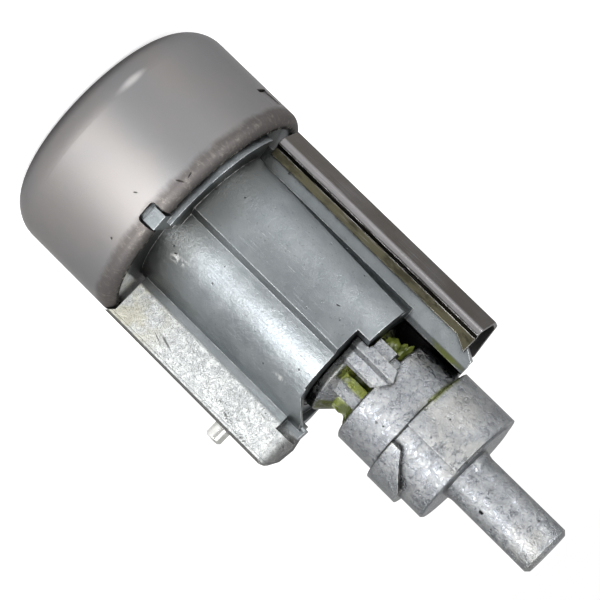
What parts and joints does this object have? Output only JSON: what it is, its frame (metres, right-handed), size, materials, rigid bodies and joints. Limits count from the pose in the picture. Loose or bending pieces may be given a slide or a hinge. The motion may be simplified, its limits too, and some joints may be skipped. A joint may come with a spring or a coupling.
{
  "type": "ignition lock cylinder",
  "caption": "Die-cast ignition lock cylinder with a crimped steel cap, sprung release pin, side cover and a cam tail that turns with the key plug.",
  "frame": {"origin": "centre of the cap's flat front ring, on the turning axis", "axes": "+Z along the turning axis from the key side to the tail, +X towards the rib with the release pin, -Y towards the side shown in the picture"},
  "size_m": [0.0383, 0.036, 0.0832],
  "materials": {
    "cap_steel": "satin",
    "zinc": "as cast, worn",
    "pin_steel": "polished",
    "spring_steel": "satin",
    "cover_steel": "satin, soiled",
    "wafer_brass": "satin"
  },
  "bodies": {
    "lock_body": {"housing": "zinc", "cap": "cap_steel", "side_cover": "cover_steel", "release_pin_spring": "spring_steel"},
    "release_pin": {"release_pin": "pin_steel"},
    "rotor": {"key_plug": "zinc", "plug_face": "cap_steel", "shutter_pin": "pin_steel", "shutter_spring": "spring_steel", "lock_cam": "zinc", "cross_pin": "pin_steel", "tail_piece": "zinc", "wafer_spring_1": "spring_steel", "wafer_spring_2": "spring_steel", "wafer_spring_3": "spring_steel", "wafer_spring_4": "spring_steel", "wafer_spring_5": "spring_steel", "wafer_spring_6": "spring_steel", "wafer_spring_7": "spring_steel", "wafer_spring_8": "spring_steel"},
    "shutter": {"shutter": "cover_steel"},
    "wafer_1": {"wafer_1": "wafer_brass"},
    "wafer_2": {"wafer_2": "wafer_brass"},
    "wafer_3": {"wafer_3": "wafer_brass"},
    "wafer_4": {"wafer_4": "wafer_brass"},
    "wafer_5": {"wafer_5": "wafer_brass"},
    "wafer_6": {"wafer_6": "wafer_brass"},
    "wafer_7": {"wafer_7": "wafer_brass"},
    "wafer_8": {"wafer_8": "wafer_brass"}
  },
  "joints": [
    {"name": "rotor_turn", "type": "hinge", "parent": "lock_body", "child": "rotor", "pos_m": [0, 0, 0.047], "axis": [0, 0, 1], "range_deg": [0, 120]},
    {"name": "release_pin_slide", "type": "slide", "parent": "lock_body", "child": "release_pin", "axis": [1, 0, 0], "range_m": [-0.002, 0], "stiffness_N_per_m": 1000, "springref_m": 0.002, "deforming": ["release_pin_spring"]},
    {"name": "shutter_swing", "type": "hinge", "parent": "rotor", "child": "shutter", "pos_m": [-0.00225, 0, 0.0025], "axis": [0, -1, 0], "range_deg": [0, 88], "stiffness_Nm_per_rad": 0.0003, "springref_deg": -45.84, "deforming": ["shutter_spring"]},
    {"name": "wafer_1_slide", "type": "slide", "parent": "rotor", "child": "wafer_1", "axis": [0, 1, 0], "range_m": [-0.0007, 0], "stiffness_N_per_m": 100, "springref_m": 0.002, "deforming": ["wafer_spring_1"]},
    {"name": "wafer_2_slide", "type": "slide", "parent": "rotor", "child": "wafer_2", "axis": [0, -1, 0], "range_m": [-0.0007, 0], "stiffness_N_per_m": 100, "springref_m": 0.002, "deforming": ["wafer_spring_2"]},
    {"name": "wafer_3_slide", "type": "slide", "parent": "rotor", "child": "wafer_3", "axis": [0, 1, 0], "range_m": [-0.0007, 0], "stiffness_N_per_m": 100, "springref_m": 0.002, "deforming": ["wafer_spring_3"]},
    {"name": "wafer_4_slide", "type": "slide", "parent": "rotor", "child": "wafer_4", "axis": [0, -1, 0], "range_m": [-0.0007, 0], "stiffness_N_per_m": 100, "springref_m": 0.002, "deforming": ["wafer_spring_4"]},
    {"name": "wafer_5_slide", "type": "slide", "parent": "rotor", "child": "wafer_5", "axis": [0, 1, 0], "range_m": [-0.0007, 0], "stiffness_N_per_m": 100, "springref_m": 0.002, "deforming": ["wafer_spring_5"]},
    {"name": "wafer_6_slide", "type": "slide", "parent": "rotor", "child": "wafer_6", "axis": [0, -1, 0], "range_m": [-0.0007, 0], "stiffness_N_per_m": 100, "springref_m": 0.002, "deforming": ["wafer_spring_6"]},
    {"name": "wafer_7_slide", "type": "slide", "parent": "rotor", "child": "wafer_7", "axis": [0, 1, 0], "range_m": [-0.0007, 0], "stiffness_N_per_m": 100, "springref_m": 0.002, "deforming": ["wafer_spring_7"]},
    {"name": "wafer_8_slide", "type": "slide", "parent": "rotor", "child": "wafer_8", "axis": [0, -1, 0], "range_m": [-0.0007, 0], "stiffness_N_per_m": 100, "springref_m": 0.002, "deforming": ["wafer_spring_8"]}
  ]
}
